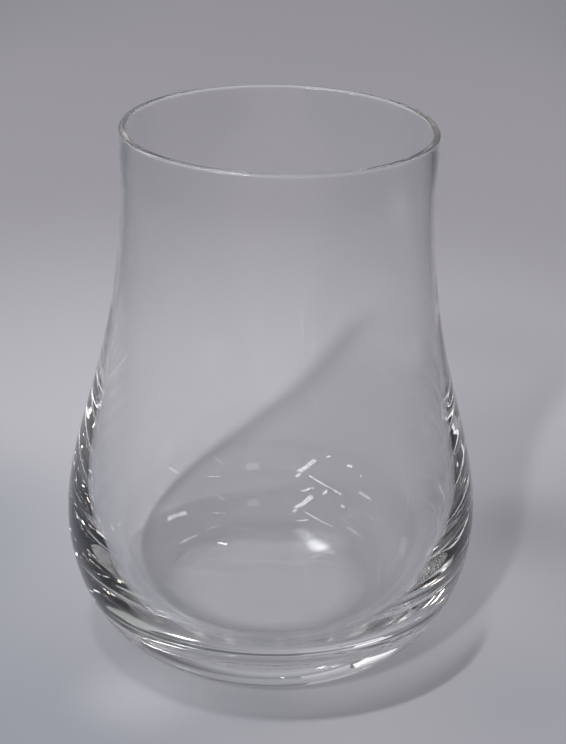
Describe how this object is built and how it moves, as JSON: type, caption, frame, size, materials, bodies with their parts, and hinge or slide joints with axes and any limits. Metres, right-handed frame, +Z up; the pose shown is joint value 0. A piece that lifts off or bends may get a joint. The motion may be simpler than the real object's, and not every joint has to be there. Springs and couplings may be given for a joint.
{
  "type": "snifter glass",
  "caption": "Clear stemless snifter glass: low wide bulge, narrower straight neck with a rounded lip, and a thick heavy base. Holds a measure of spirits and gathers its scent.",
  "frame": {"origin": "centre of the foot, on the plane that the glass stands on", "axes": "+Z up along the axis that the glass is turned about; X and Y are alike"},
  "size_m": [0.0806, 0.0806, 0.105],
  "materials": {
    "clear_glass": "clear, colourless, fire polished"
  },
  "bodies": {
    "root": {"glass_body": "clear_glass"}
  },
  "joints": []
}
